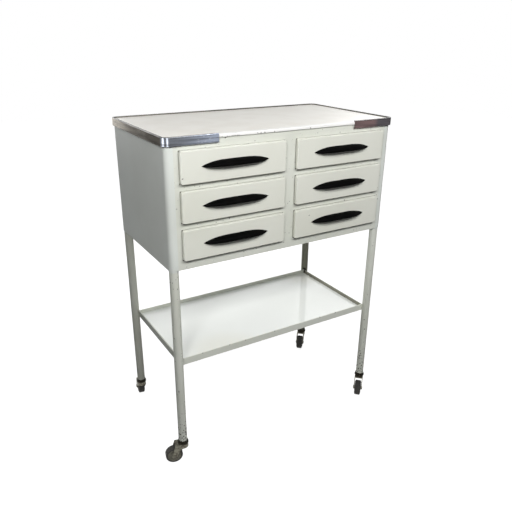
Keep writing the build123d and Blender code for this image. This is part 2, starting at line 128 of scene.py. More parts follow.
class Graph:
    """A material under construction, with short calls for the nodes that the finishes share."""

    def __init__(self, name: str) -> None:
        """Start a material with a bare Principled surface.

        Args:
            name: The material's name.
        """
        self.material = bpy.data.materials.new(name)
        self.material.use_nodes = True
        self.tree = self.material.node_tree
        self.surface = self.tree.nodes["Principled BSDF"]
        self.place = self.node("ShaderNodeTexCoord").outputs["Object"]

    def node(self, kind: str, **settings: object) -> bpy.types.Node:
        """Add a node of a kind, with attributes to set on it, and return it."""
        return add_node(self.tree, kind, **settings)

    def feed(self, target: Socket, value: object) -> None:
        """Link a socket to an input, or set the input to a plain value.

        Args:
            target: The input.
            value: An output socket, a number or a tuple of numbers.
        """
        if isinstance(value, bpy.types.NodeSocket):
            self.tree.links.new(value, target)
        else:
            target.default_value = value

    def set(self, **inputs: object) -> None:
        """Set or link inputs of the Principled surface, named with _ for a space."""
        for key, value in inputs.items():
            if isinstance(value, tuple):
                value = (*value, 1.0)
            self.feed(self.surface.inputs[key.replace("_", " ")], value)

    def math(self, operation: str, first: Value, second: Value = 0.0) -> Socket:
        """Return the result of a Math node on two values."""
        made = self.node("ShaderNodeMath", operation=operation)
        self.feed(made.inputs[0], first)
        self.feed(made.inputs[1], second)
        return made.outputs[0]

    def ramp(self, value: Value, low: float, high: float,
             start: float = 0.0, end: float = 1.0) -> Socket:
        """Map a value smoothly from one span to another.

        Args:
            value: What to map.
            low: The value that gives start.
            high: The value that gives end.
            start: The result at low and beyond it.
            end: The result at high and beyond it.

        Returns:
            The mapped value.
        """
        made = self.node("ShaderNodeMapRange", interpolation_type="SMOOTHSTEP")
        for index, item in enumerate((value, low, high, start, end)):
            self.feed(made.inputs[index], item)
        return made.outputs[0]

    def mix(self, share: Value, first: object, second: object) -> Socket:
        """Mix two colours.

        Args:
            share: How much of the second colour shows, 0 to 1.
            first: The first colour, a socket or three numbers.
            second: The second colour.

        Returns:
            The mixed colour.
        """
        made = self.node("ShaderNodeMix", data_type="RGBA")
        self.feed(made.inputs[MIX_SHARE], share)
        for index, colour in ((MIX_FIRST, first), (MIX_SECOND, second)):
            self.feed(made.inputs[index], (*colour, 1.0) if isinstance(colour, tuple) else colour)
        return made.outputs[MIX_RESULT]

    def noise(self, scale: float, detail: float, stretch: Point = EVEN) -> Socket:
        """Add cloudy noise.

        Args:
            scale: Features per metre.
            detail: How many finer layers it has.
            stretch: A factor on the scale along each axis.

        Returns:
            The noise, about 0.5 in the middle.
        """
        stretched = self.node("ShaderNodeMapping")
        self.feed(stretched.inputs["Vector"], self.place)
        stretched.inputs["Scale"].default_value = stretch
        made = self.node("ShaderNodeTexNoise")
        self.feed(made.inputs["Vector"], stretched.outputs[0])
        made.inputs["Scale"].default_value = scale
        made.inputs["Detail"].default_value = detail
        return made.outputs[0]

    def pattern(self, wanted: Pattern) -> Socket:
        """Return a pattern's mask."""
        cloud = self.noise(wanted.scale, wanted.detail, wanted.stretch)
        return self.ramp(cloud, wanted.low, wanted.high, 0.0, wanted.full)

    def relief(self, wanted: Relief, below: Union[Socket, None] = None) -> Socket:
        """Turn a relief into a surface normal.

        Args:
            wanted: The relief.
            below: Another normal that this one lies on.

        Returns:
            The normal.
        """
        made = self.node("ShaderNodeBump")
        made.inputs["Strength"].default_value = wanted.strength
        made.inputs["Distance"].default_value = wanted.depth
        height = self.noise(wanted.scale, wanted.detail, wanted.stretch)
        self.feed(made.inputs["Height"], height)
        if below is not None:
            self.feed(made.inputs["Normal"], below)
        return made.outputs[0]

    def coordinate(self, axis: str) -> Socket:
        """Return one coordinate, X, Y or Z, of the place on the piece."""
        made = self.node("ShaderNodeSeparateXYZ")
        self.feed(made.inputs[0], self.place)
        return made.outputs[axis]

    def away_from(self, centre: Point) -> Socket:
        """Return the distance of the place on the piece from a point."""
        made = self.node("ShaderNodeVectorMath", operation="DISTANCE")
        self.feed(made.inputs[0], self.place)
        made.inputs[1].default_value = centre
        return made.outputs["Value"]

    def near(self, centre: Point, radius: float, whole: float = 0.4) -> Socket:
        """Mark what is close to a point.

        Args:
            centre: The point.
            radius: Where the mark has faded to 0.
            whole: Up to where it is 1, as a share of the radius.

        Returns:
            1 near the point, fading to 0.
        """
        return self.ramp(self.away_from(centre), whole * radius, radius, 1.0, 0.0)

    def spots(self, centres: Iterable[Point], radius: float,
              ragged: float = 0.9, edge: Span = (0.85, 1.15)) -> Socket:
        """Mark ragged spots round given points.

        Args:
            centres: The spots' middles.
            radius: Their mean radius.
            ragged: How far the outline strays, as a share of the radius.
            edge: Where the fade starts and ends, as shares of the radius.

        Returns:
            1 inside a spot and 0 outside.
        """
        stray = ragged * radius
        wobble = self.ramp(self.noise(0.7 / radius, 3.0), 0.3, 0.7, -stray, stray)
        start, end = (share * radius for share in edge)
        found: Value = 0.0
        for centre in centres:
            ring = self.math("ADD", self.away_from(centre), wobble)
            found = self.math("MAXIMUM", found, self.ramp(ring, start, end, 1.0, 0.0))
        return found

    def band(self, axis: str, low: float, high: float, soft: float) -> Socket:
        """Mark the part of the piece between two coordinates.

        Args:
            axis: X, Y or Z.
            low: Where the band starts.
            high: Where it ends.
            soft: Half the width over which each edge fades.

        Returns:
            1 inside the band and 0 outside.
        """
        place = self.coordinate(axis)
        rise = self.ramp(place, low - soft, low + soft)
        fall = self.ramp(place, high - soft, high + soft, 1.0, 0.0)
        return self.math("MULTIPLY", rise, fall)

    def behind(self, box: Box, soft: float) -> Socket:
        """Mark the part of an upright sheet that a box in front of it covers.

        Args:
            box: The box's lowest and highest corners.
            soft: Half the width over which the mark's edges fade.

        Returns:
            1 behind the box and 0 beside it.
        """
        low, high = box
        across = self.band("X", low[0], high[0], soft)
        upward = self.band("Z", low[2], high[2], soft)
        return self.math("MULTIPLY", across, upward)

    def facing(self, direction: Point, fade: Span = (0.15, 0.75)) -> Socket:
        """Mark what faces a direction.

        Args:
            direction: The direction, of length 1.
            fade: The cosines at which the mark starts and is whole.

        Returns:
            1 on what faces that way and 0 on what is side on to it.
        """
        turned = self.node("ShaderNodeVectorMath", operation="DOT_PRODUCT")
        self.feed(turned.inputs[0], self.node("ShaderNodeNewGeometry").outputs["Normal"])
        turned.inputs[1].default_value = direction
        return self.ramp(turned.outputs["Value"], *fade)

    def either(self, first: Union[Socket, None], second: Socket) -> Socket:
        """Return the larger of two masks, where the first may be missing."""
        return second if first is None else self.math("MAXIMUM", first, second)


# ---------------------------------------------------------------- finishes
@dataclass(frozen=True)
class FootWear:
    """Small chips that crowd together towards the foot of a leg."""

    foot: float = 73 * MM
    top: float = 240 * MM
    rare_at: Span = (0.58, 0.73)  # the noise that still chips, at the foot and at the top
    edge: float = 0.03
    scale: float = 230.0
    stretch: Point = (1.0, 1.0, 0.6)

    def mask(self, graph: Graph) -> Socket:
        """Return 1 on the chips and 0 elsewhere, in a material's graph."""
        level = graph.ramp(graph.coordinate("Z"), self.foot, self.top, *self.rare_at)
        above = graph.math("SUBTRACT", graph.noise(self.scale, 1.0, self.stretch), level)
        return graph.ramp(above, 0.0, self.edge)


@dataclass(frozen=True)
class Enamel:
    """Stoved enamel on steel: slightly uneven, with chips down to dark metal, and painted shade
    where asked: behind given boxes, on faces turned one way, and as dark spots given among the
    chips.
    """

    name: str
    colour: Colour = (0.755, 0.77, 0.70)
    aged: Colour = (0.70, 0.715, 0.63)
    bare: Colour = (0.045, 0.04, 0.034)
    # The next colour is painted shade: it darkens the sheet behind the covered boxes and the faces
    # turned the way given below.
    painted_shade: Colour = (0.11, 0.105, 0.085)
    roughness: float = 0.4
    gloss: float = 0.3
    # Chips, and also any painted shadow spots given among them.
    chips: tuple[Point, ...] = ()
    chip_size: float = 1.3 * MM
    flecks: Union[Pattern, None] = None
    foot_wear: Union[FootWear, None] = None
    # Boxes in front of the sheet: the sheet behind them gets painted shade, seen through the gaps
    # round them.
    covered: tuple[Box, ...] = ()
    covered_soft: float = 0.4 * MM
    # Faces turned this way get painted shade.
    painted_shade_towards: Union[Point, None] = None
    ageing: Pattern = Pattern(5.0, 3.0, 0.35, 0.7)
    peel: Relief = Relief(420.0, 2.0, 0.05 * MM, 0.35)
    waves: Relief = Relief(7.0, 1.0, 2.0 * MM, 0.25)

    def _chipped(self, graph: Graph) -> Union[Socket, None]:
        """Return the mask of every place without enamel, or nothing where it is whole."""
        chipped = graph.spots(self.chips, self.chip_size) if self.chips else None
        if self.flecks is not None:
            chipped = graph.either(chipped, graph.pattern(self.flecks))
        if self.foot_wear is not None:
            chipped = graph.either(chipped, self.foot_wear.mask(graph))
        return chipped

    def material(self) -> bpy.types.Material:
        """Return the finished material."""
        graph = Graph(self.name)
        colour = graph.mix(graph.pattern(self.ageing), self.colour, self.aged)
        # Painted shade behind each covered box, seen through the gaps round it.
        for box in self.covered:
            colour = graph.mix(graph.behind(box, self.covered_soft), colour, self.painted_shade)
        # Painted shade on the faces turned the given way.
        if self.painted_shade_towards is not None:
            colour = graph.mix(graph.facing(self.painted_shade_towards), colour, self.painted_shade)
        chipped = self._chipped(graph)
        if chipped is not None:
            colour = graph.mix(chipped, colour, self.bare)
        normal = graph.relief(self.waves, graph.relief(self.peel))
        graph.set(Base_Color=colour, Roughness=self.roughness, Normal=normal)
        graph.set(Specular_IOR_Level=self.gloss)
        return graph.material


@dataclass(frozen=True)
class PolishedTrim:
    """Aluminium strip whose ground colour is painted reflection: blue-grey turning from dark to
    bright along the front from the left corner, reddish turning grey at the right, dark brown-grey
    along the sides, with a painted highlight along the top bead.
    """

    name: str
    # The next seven colours are painted reflections, the last of them a painted highlight on the
    # top bead; smut and scratch below are the metal's own marks.
    bright_reflection: Colour = (0.33, 0.37, 0.455)
    dark_reflection: Colour = (0.16, 0.172, 0.195)
    back_side_reflection: Colour = (0.15, 0.138, 0.118)
    front_side_reflection: Colour = (0.10, 0.092, 0.08)
    reddish_reflection: Colour = (0.18, 0.12, 0.12)
    greyish_reflection: Colour = (0.09, 0.082, 0.09)
    wear_and_highlight: Colour = (0.36, 0.36, 0.36)
    smut: Colour = (0.035, 0.034, 0.034)
    scratch: Colour = (0.55, 0.57, 0.62)
    roughness: float = 0.15
    stained_roughness: float = 0.27
    edge_tint: Colour = (0.45, 0.45, 0.45)
    dark_to_bright_reflection: Span = (-335 * MM, -215 * MM)  # along the front, from the left corner, where the painted reflection turns from dark to bright
    left_to_right: Span = (0.0, 100 * MM)
    red_to_grey: Span = (280 * MM, 300 * MM)
    front_to_side: Span = (-184 * MM, -178 * MM)
    front_to_back_reflection: Span = (-190 * MM, 190 * MM)
    bead_highlight_from: Span = (947.9 * MM, 948.5 * MM)
    bead_highlight_share: float = 0.8
    scratched: Point = (-0.246, -0.195, 0.933)
    scratched_reach: float = 35 * MM
    streaks: Pattern = Pattern(9.0, 4.0, 0.42, 0.66, (1.0, 1.0, 30.0), 0.55)
    lines: Pattern = Pattern(900.0, 1.0, 0.66, 0.72, (0.12, 1.0, 1.0))
    stains: Pattern = Pattern(30.0, 4.0, 0.4, 0.7)
    ripple: Relief = Relief(40.0, 2.0, 0.02 * MM, 0.3, (0.3, 0.3, 1.0))

    def _ground(self, graph: Graph) -> Socket:
        """Return the metal's ground colour, painted reflections and a painted highlight on the top,
        before streaks and scratches.
        """
        across, along, up = (graph.coordinate(axis) for axis in "XYZ")
        # Painted reflections that change along the front and from the front to the sides.
        reflection_brightening = graph.ramp(across, *self.dark_to_bright_reflection)
        left = graph.mix(reflection_brightening, self.dark_reflection, self.bright_reflection)
        right = graph.mix(graph.ramp(across, *self.red_to_grey), self.reddish_reflection, self.greyish_reflection)
        front = graph.mix(graph.ramp(across, *self.left_to_right), left, right)
        side_reflection_fade = graph.ramp(along, *self.front_to_back_reflection)
        sides = graph.mix(side_reflection_fade, self.front_side_reflection, self.back_side_reflection)
        face = graph.mix(graph.ramp(along, *self.front_to_side), front, sides)
        # Painted highlight along the top of the bead.
        bead = graph.ramp(up, *self.bead_highlight_from, 0.0, self.bead_highlight_share)
        return graph.mix(bead, face, self.wear_and_highlight)

    def material(self) -> bpy.types.Material:
        """Return the finished material."""
        graph = Graph(self.name)
        colour = graph.mix(graph.pattern(self.streaks), self._ground(graph), self.smut)
        reach = graph.near(self.scratched, self.scratched_reach)
        marked = graph.math("MULTIPLY", graph.pattern(self.lines), reach)
        colour = graph.mix(marked, colour, self.scratch)
        stains = graph.pattern(self.stains)
        roughness = graph.ramp(stains, 0.0, 1.0, self.roughness, self.stained_roughness)
        graph.set(Base_Color=colour, Metallic=1.0, Specular_Tint=self.edge_tint)
        graph.set(Roughness=roughness, Normal=graph.relief(self.ripple))
        return graph.material


@dataclass(frozen=True)
class Laminate:
    """Warm off-white board covering, mottled, with a painted highlight along the rounded front edge
    and chips to the core.
    """

    name: str
    colour: Colour = (0.85, 0.828, 0.762)
    mottle: Colour = (0.81, 0.782, 0.712)
    # The next colour is a painted highlight along the rounded front edge.
    wear_and_highlight: Colour = (0.92, 0.915, 0.89)
    core: Colour = (0.05, 0.04, 0.032)
    roughness: float = 0.38
    edge_highlight_to: Span = (-191 * MM, -171 * MM)  # back from the front edge
    worn_span: Span = (-211 * MM, -155 * MM)  # the worn line along the edge
    worn_soft: float = 4 * MM
    worn_height: Span = (939.3 * MM, 940.1 * MM)
    worn_height_soft: float = 0.3 * MM
    chips: tuple[Point, ...] = ()
    chip_size: float = 1.3 * MM
    clouds: Pattern = Pattern(14.0, 6.0, 0.4, 0.65)
    broken: Pattern = Pattern(160.0, 2.0, 0.38, 0.5)
    grain: Relief = Relief(700.0, 2.0, 0.04 * MM, 0.3)

    def material(self) -> bpy.types.Material:
        """Return the finished material."""
        graph = Graph(self.name)
        colour = graph.mix(graph.pattern(self.clouds), self.colour, self.mottle)
        # Painted highlight, fading back from the front edge.
        edge = graph.ramp(graph.coordinate("Y"), *self.edge_highlight_to, 1.0, 0.0)
        colour = graph.mix(edge, colour, self.wear_and_highlight)
        across = graph.band("X", *self.worn_span, self.worn_soft)
        line = graph.band("Z", *self.worn_height, self.worn_height_soft)
        whole = graph.math("MULTIPLY", across, line)
        worn = graph.math("MULTIPLY", whole, graph.pattern(self.broken))
        if self.chips:
            worn = graph.either(worn, graph.spots(self.chips, self.chip_size))
        colour = graph.mix(worn, colour, self.core)
        graph.set(Base_Color=colour, Roughness=self.roughness, Normal=graph.relief(self.grain))
        return graph.material


@dataclass(frozen=True)
class OpalGlass:
    """White opal glass: opaque, glossy, a little green, and darker beige round two given points."""

    name: str
    colour: Colour = (0.965, 0.985, 0.955)
    streak: Colour = (0.95, 0.97, 0.935)
    beige: Colour = (0.83, 0.82, 0.70)
    beige_spots: tuple[Point, ...] = ((0.33, 0.18, 0.326), (-0.19, -0.19, 0.326))
    beige_reach: float = 150 * MM
    beige_share: float = 0.4
    roughness: float = 0.06
    refraction: float = 1.52
    coat: float = 0.3
    coat_roughness: float = 0.02
    swirl: Pattern = Pattern(4.0, 2.0, 0.35, 0.65)
    flow: Relief = Relief(5.0, 1.0, 0.2 * MM, 0.1)

    def material(self) -> bpy.types.Material:
        """Return the finished material."""
        graph = Graph(self.name)
        colour = graph.mix(graph.pattern(self.swirl), self.colour, self.streak)
        for spot in self.beige_spots:
            share = graph.math("MULTIPLY", graph.near(spot, self.beige_reach), self.beige_share)
            colour = graph.mix(share, colour, self.beige)
        graph.set(Base_Color=colour, Roughness=self.roughness, IOR=self.refraction)
        graph.set(Coat_Weight=self.coat, Coat_Roughness=self.coat_roughness)
        graph.set(Normal=graph.relief(self.flow))
        return graph.material


@dataclass(frozen=True)
class Moulding:
    """Black moulding that is worn a little brown where fingers rub it."""

    name: str
    colour: Colour = (0.0015, 0.0015, 0.0015)
    worn: Colour = (0.004, 0.0036, 0.0034)
    roughness: float = 0.5
    worn_roughness: float = 0.65
    gloss: float = 0.015
    rubbing: Pattern = Pattern(45.0, 4.0, 0.5, 0.75)
    texture: Relief = Relief(260.0, 3.0, 0.06 * MM, 0.4)

    def material(self) -> bpy.types.Material:
        """Return the finished material."""
        graph = Graph(self.name)
        wear_and_highlight = graph.pattern(self.rubbing)
        roughness = graph.ramp(wear_and_highlight, 0.0, 1.0, self.roughness, self.worn_roughness)
        graph.set(Base_Color=graph.mix(wear_and_highlight, self.colour, self.worn), Roughness=roughness)
        graph.set(Specular_IOR_Level=self.gloss, Normal=graph.relief(self.texture))
        return graph.material


@dataclass(frozen=True)
class BareMetal:
    """Plated or bare steel with tarnish in patches, and near-black painted shade above a height
    where one is given.
    """

    name: str
    colour: Colour
    tarnish: Colour
    roughness: float = 0.35
    roughened: float = 0.25  # what tarnish adds to the roughness
    stains: Pattern = Pattern(40.0, 5.0, 0.4, 0.66)
    pits: Relief = Relief(500.0, 3.0, 0.08 * MM, 0.5)
    painted_shade_above: Union[float, None] = None
    painted_shade_soft: float = 1 * MM
    # The painted shade's colour.
    black: Colour = (0.022, 0.02, 0.015)

    def material(self) -> bpy.types.Material:
        """Return the finished material."""
        graph = Graph(self.name)
        stain = graph.pattern(self.stains)
        colour = graph.mix(stain, self.colour, self.tarnish)
        # Painted shade above the given height.
        if self.painted_shade_above is not None:
            low = self.painted_shade_above - self.painted_shade_soft
            high = self.painted_shade_above + self.painted_shade_soft
            colour = graph.mix(graph.ramp(graph.coordinate("Z"), low, high), colour, self.black)
        stained = self.roughness + self.roughened
        graph.set(Base_Color=colour, Metallic=1.0, Normal=graph.relief(self.pits))
        graph.set(Roughness=graph.ramp(stain, 0.0, 1.0, self.roughness, stained))
        return graph.material


@dataclass(frozen=True)
class Dull:
    """Moulded wheel centre or rubber: matt, dusty and a little uneven."""

    name: str
    colour: Colour
    dust: Colour
    roughness: float = 0.75
    dusting: Pattern = Pattern(90.0, 5.0, 0.4, 0.7)
    texture: Relief = Relief(800.0, 3.0, 0.1 * MM, 0.5)

    def material(self) -> bpy.types.Material:
        """Return the finished material."""
        graph = Graph(self.name)
        colour = graph.mix(graph.pattern(self.dusting), self.colour, self.dust)
        graph.set(Base_Color=colour, Roughness=self.roughness, Normal=graph.relief(self.texture))
        return graph.material


def dress(node: str, material: bpy.types.Material) -> None:
    """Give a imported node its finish.

    Args:
        node: The node's name.
        material: The material for its slots.
    """
    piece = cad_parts[node]
    if not piece.material_slots:
        piece.data.materials.append(material)
    for slot in piece.material_slots:
        slot.material = material
    log.info("dressed %s in %s", node, material.name)


# ---------------------------------------------------------------- casing and work top
@dataclass
class Casing:
    """The sheet steel casing with its posts, partition and drawer runners."""

    panels: tuple[str, ...] = ("side_panel_left", "side_panel_right", "back_panel",
                               "corner_posts", "bottom_plate", "centre_partition")
    panel_colour: Colour = (0.725, 0.755, 0.712)
    panel_aged: Colour = (0.67, 0.695, 0.65)
    panel_gloss: float = 0.09
    roughness: float = 0.5
    # The frame is a little darker than the drawer fronts: partly the paint's own tone, partly
    # painted shade from the fronts.
    front_colour: Colour = (0.705, 0.718, 0.652)
    front_aged: Colour = (0.65, 0.665, 0.59)
    front_flecks: Pattern = Pattern(210.0, 1.0, 0.74, 0.76)
    front_chips: tuple[Point, ...] = (
        (0.0778, -0.1889, 0.9114),
        (0.0560, -0.1889, 0.8150),
        (0.0617, -0.1889, 0.8148),
        (0.3247, -0.1889, 0.7436),
        (0.2334, -0.1889, 0.7162),
        (-0.3418, -0.1880, 0.6522),
        (0.3459, -0.1870, 0.8065),
    )
    runner: BareMetal = BareMetal("runner_zinc", (0.50, 0.49, 0.46), (0.33, 0.32, 0.29))

    def dress(self) -> None:
        """Finish the panels, the front frame, the inner sheets and the runners."""
        panel = Enamel("casing_enamel", self.panel_colour, self.panel_aged,
                       roughness=self.roughness, gloss=self.panel_gloss).material()
        for node in self.panels:
            dress(node, panel)
        fronts = (f"drawer_front_{row.value}_{column.value}" for row in Row for column in Column)
        covered = tuple(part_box(node) for node in fronts)
        # The frame gets painted shade behind the drawer fronts, seen through the gaps, and on its
        # downward faces.
        framed = Enamel("frame_enamel", self.front_colour, self.front_aged,
                        chips=self.front_chips, flecks=self.front_flecks,
                        covered=covered, painted_shade_towards=DOWN)
        dress("front_frame", framed.material())
        dress("drawer_runners", self.runner.material())


@dataclass
class WorkTop:
    """The covered board and the metal strip round its edge."""

    chips: tuple[Point, ...] = (
        (-0.102, -0.193, 0.9402),
        (-0.093, -0.193, 0.9402),
        (-0.082, -0.193, 0.9402),
        (-0.052, -0.193, 0.9402),
        (0.061, -0.193, 0.9402),
    )

    def dress(self) -> None:
        """Finish the board and the strip."""
        dress("top_panel", Laminate("top_laminate", chips=self.chips).material())
        dress("edge_trim", PolishedTrim("edge_aluminium").material())


# ---------------------------------------------------------------- legs and shelf
@dataclass
class Stand:
    """The tube legs, the angle frame of the shelf and its glass."""

    roughness: float = 0.5
    worn_gloss: float = 0.10
    back_gloss: float = 0.06
    painted_shade_gloss: float = 0.05
    rail_gloss: float = 0.12
    colour: Colour = (0.72, 0.735, 0.668)
    aged: Colour = (0.655, 0.67, 0.592)
    # The back legs' colours are a darker copy of the leg enamel: painted shade.
    shaded_back_colour: Colour = (0.62, 0.63, 0.565)
    shaded_back_aged: Colour = (0.56, 0.565, 0.49)
    # The side rails' colours are a darker copy of the rail enamel: painted shade.
    side_rail: Colour = (0.62, 0.635, 0.58)
    side_rail_aged: Colour = (0.56, 0.57, 0.50)
    # Painted shade for faces turned from the light: the back right leg's and the right rail's.
    inner_painted_shade: Colour = (0.27, 0.265, 0.215)
    # Painted shadow spots where the shelf frame meets the back right leg, given among the chips.
    rail_corner_shadow: Point = (0.327, 0.162, 0.334)
    leg_corner_shadow: Point = (0.3312, 0.1642, 0.3400)
    corner_shadow_size: float = 5.5 * MM
    leg_chips: tuple[Point, ...] = (
        (-0.3351, -0.1875, 0.5628),
        (-0.3536, -0.1823, 0.1344),
        (-0.3411, -0.1872, 0.1050),
        (0.3276, -0.1823, 0.1349),
        (0.3307, -0.1853, 0.0821),
    )
    rail_chips: tuple[Point, ...] = (
        (-0.262, -0.167, 0.337),
        (-0.174, -0.167, 0.337),
        (-0.121, -0.167, 0.3365),
        (-0.019, -0.167, 0.3365),
        (0.152, -0.167, 0.337),
        (0.214, -0.167, 0.337),
    )

    def _dress_legs(self) -> None:
        """Finish the legs: chipped at the front, darker at the back as painted shade, and the back
        right one with more painted shade where it faces front left and a painted shadow spot at the
        shelf corner.
        """
        worn = Enamel("leg_enamel", self.colour, self.aged, roughness=self.roughness,
                      gloss=self.worn_gloss, chips=self.leg_chips,
                      foot_wear=FootWear()).material()
        # The back left leg: the darker back colours, painted shade.
        plain = Enamel("back_leg_enamel", self.shaded_back_colour, self.shaded_back_aged,
                       roughness=self.roughness, gloss=self.back_gloss).material()
        # The back right leg: painted shade on faces turned front left, and a painted shadow spot at
        # the shelf corner.
        shaded_back_right = Enamel("shaded_leg_enamel", self.shaded_back_colour, self.shaded_back_aged,
                       painted_shade=self.inner_painted_shade, painted_shade_towards=FRONT_LEFTWARD,
                       roughness=self.roughness, gloss=self.painted_shade_gloss,
                       chips=(self.leg_corner_shadow,), chip_size=self.corner_shadow_size).material()
        finishes = {
            Corner.FRONT_LEFT: worn,
            Corner.FRONT_RIGHT: worn,
            Corner.BACK_LEFT: plain,
            Corner.BACK_RIGHT: shaded_back_right,
        }
        for corner, finish in finishes.items():
            dress(f"leg_{corner.value}", finish)

    def _dress_rails(self) -> None:
        """Finish the rails: the side ones darker as painted shade, the right one with more painted
        shade where it faces the glass and a painted shadow spot at the back right leg.
        """
        rail = Enamel("rail_enamel", roughness=self.roughness, gloss=self.rail_gloss,
                      chips=self.rail_chips).material()
        for side in ("front", "back"):
            dress(f"shelf_rail_{side}", rail)
        outward = Enamel("side_rail_enamel", self.side_rail, self.side_rail_aged,
                         painted_shade=self.inner_painted_shade, roughness=self.roughness,
                         gloss=self.painted_shade_gloss, chips=(self.rail_corner_shadow,),
                         chip_size=self.corner_shadow_size)
        dress("shelf_rail_left", outward.material())
        # Painted shade on the right rail's face turned towards the glass, and its painted shadow
        # spot.
        inward = replace(outward, name="inner_rail_enamel", painted_shade_towards=LEFTWARD)
        dress("shelf_rail_right", inward.material())

    def dress(self) -> None:
        """Finish the legs, the rails and the glass."""
        self._dress_legs()
        self._dress_rails()
        dress("shelf_glass", OpalGlass("opal_plate").material())


# ---------------------------------------------------------------- drawers
@dataclass
class Drawer:
    """One drawer: pressed front, tray, handle and its screws."""

    row: Row
    column: Column

    def dress(self, finishes: dict[str, bpy.types.Material]) -> None:
        """Finish the drawer's pieces.

        Args:
            finishes: The material of each piece, by the first words of its node's name.
        """
        for piece, material in finishes.items():
            dress(f"{piece}_{self.row.value}_{self.column.value}", material)


@dataclass
class DrawerBank:
    """The six drawers, which share their finishes."""

    front: Enamel = Enamel(
        "drawer_enamel",
        (0.77, 0.775, 0.70),
        (0.73, 0.735, 0.65),
        # Downward faces, the undersides of the front edges, get painted shade.
        painted_shade_towards=DOWN,
        chips=(
            (0.0643, -0.1995, 0.7002),
            (-0.3131, -0.1995, 0.8502),
            (-0.3145, -0.1975, 0.8380),
            (0.3160, -0.1990, 0.7474),
        ),
    )
    tray: Enamel = Enamel("tray_enamel")
    handle: Moulding = Moulding("handle_moulding")
    screw: BareMetal = BareMetal("screw_zinc", (0.55, 0.54, 0.50), (0.36, 0.34, 0.30))

    def dress(self) -> None:
        """Finish every drawer."""
        finishes = {
            "drawer_front": self.front.material(),
            "drawer_tray": self.tray.material(),
            "drawer_handle": self.handle.material(),
            "handle_screws": self.screw.material(),
        }
        for row in Row:
            for column in Column:
                Drawer(row, column).dress(finishes)


# ---------------------------------------------------------------- casters
@dataclass
class CasterSet:
    """The four swivel casters and their stems."""

    pressing: BareMetal = BareMetal(
        "fork_steel",
        (0.17, 0.165, 0.13),
        (0.08, 0.072, 0.058),
        roughness=0.4,
        stains=Pattern(120.0, 5.0, 0.4, 0.66),
        # Painted shade: the stems and the top of each fork, under the leg's foot, turn near black.
        painted_shade_above=62.5 * MM,
    )
    pin: BareMetal = BareMetal(
        "axle_steel",
        (0.11, 0.104, 0.085),
        (0.06, 0.055, 0.045),
        stains=Pattern(160.0, 5.0, 0.4, 0.66),
    )
    centre: Dull = Dull("wheel_moulding", (0.115, 0.11, 0.084), (0.17, 0.162, 0.125))
    tyre: Dull = Dull("tyre_rubber", (0.014, 0.013, 0.010), (0.032, 0.029, 0.023), 0.85)

    def dress(self) -> None:
        """Finish the stems, forks, axles, wheels and tyres."""
        finishes = {
            "caster_fork": self.pressing.material(),
            "caster_axle": self.pin.material(),
            "caster_wheel": self.centre.material(),
            "caster_tyre": self.tyre.material(),
        }
        dress("caster_stems", finishes["caster_fork"])
        for corner in Corner:
            for piece, material in finishes.items():
                dress(f"{piece}_{corner.value}", material)


# ---------------------------------------------------------------- studio
@dataclass(frozen=True)
class Lamp:
    """A soft area lamp that looks at a point of the cabinet."""

    name: str
    place: Point
    watts: float
    width: float
    height: float
    target: Point = CABINET_MIDDLE
    only_glints: bool = False

    def make(self) -> None:
        """Add the lamp to the scene."""
        light = bpy.data.lights.new(self.name, "AREA")
        light.shape = "RECTANGLE"
        light.size = self.width
        light.size_y = self.height
        light.energy = self.watts
        holder = bpy.data.objects.new(self.name, light)
        holder.location = self.place
        aim = Vector(self.target) - Vector(self.place)
        holder.rotation_euler = aim.to_track_quat("-Z", "Y").to_euler()
        holder.visible_diffuse = not self.only_glints
        bpy.context.scene.collection.objects.link(holder)


